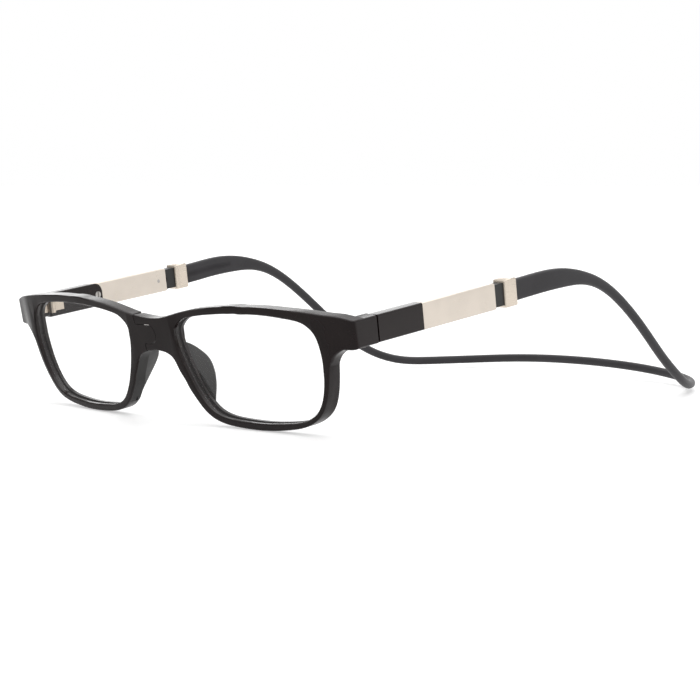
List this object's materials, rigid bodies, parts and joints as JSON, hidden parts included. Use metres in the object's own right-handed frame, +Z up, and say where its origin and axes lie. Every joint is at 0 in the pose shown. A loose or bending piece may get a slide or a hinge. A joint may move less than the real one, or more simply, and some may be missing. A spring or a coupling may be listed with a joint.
{
  "type": "reading glasses",
  "caption": "Reading glasses whose front parts at the bridge, held by hidden magnets, with folding fronts, sliding metal-sleeved arms and a moulded rear headband.",
  "frame": {"origin": "middle of the bounding box on the floor, in the symmetry plane", "axes": "+X to the wearer's left, +Y from the front to the back of the head, +Z up; the front faces -Y"},
  "size_m": [0.1386, 0.1854, 0.0408],
  "materials": {
    "front_plastic": "satin black moulded plastic",
    "pad_plastic": "soft dark grey moulding",
    "lens": "clear, coated",
    "magnet": "nickel plated",
    "hinge_metal": "champagne satin",
    "arm_metal": "champagne silver satin",
    "bar": "matte black",
    "band_rubber": "matte black"
  },
  "bodies": {
    "band_right": {"headband_right": "band_rubber", "ferrule_right": "arm_metal", "slider_bar_right": "bar"},
    "arm_right": {"arm_front_right": "front_plastic", "arm_screw_right": "arm_metal", "sleeve_right": "arm_metal", "stop_pin_right": "arm_metal", "hinge_arm_leaf_right": "hinge_metal"},
    "front_right": {"front_half_right": "front_plastic", "lens_right": "lens", "nose_pad_right": "pad_plastic", "bridge_magnet_right": "magnet", "hinge_front_leaf_right": "hinge_metal", "hinge_screw_right": "hinge_metal"},
    "band_left": {"headband_left": "band_rubber", "ferrule_left": "arm_metal", "slider_bar_left": "bar"},
    "arm_left": {"arm_front_left": "front_plastic", "arm_screw_left": "arm_metal", "sleeve_left": "arm_metal", "stop_pin_left": "arm_metal", "hinge_arm_leaf_left": "hinge_metal"},
    "front_left": {"front_half_left": "front_plastic", "lens_left": "lens", "nose_pad_left": "pad_plastic", "bridge_magnet_left": "magnet", "hinge_front_leaf_left": "hinge_metal", "hinge_screw_left": "hinge_metal"}
  },
  "joints": [
    {"name": "band_flex", "type": "hinge", "parent": "band_right", "child": "band_left", "pos_m": [0, 0.09265, 0.00359], "axis": [0, 0, 1], "range_deg": [0, 20]},
    {"name": "slide_left", "type": "slide", "parent": "band_left", "child": "arm_left", "axis": [0, -0.9907, -0.1357], "range_m": [-0.0032, 0.016]},
    {"name": "fold_left", "type": "hinge", "parent": "arm_left", "child": "front_left", "pos_m": [0.06435, -0.07703, 0.02821], "axis": [0, 0.1357, -0.9907], "range_deg": [0, 90]},
    {"name": "slide_right", "type": "slide", "parent": "band_right", "child": "arm_right", "axis": [0, -0.9907, -0.1357], "range_m": [-0.0032, 0.016]},
    {"name": "fold_right", "type": "hinge", "parent": "arm_right", "child": "front_right", "pos_m": [-0.06435, -0.07703, 0.02821], "axis": [0, -0.1357, 0.9907], "range_deg": [0, 90]}
  ]
}
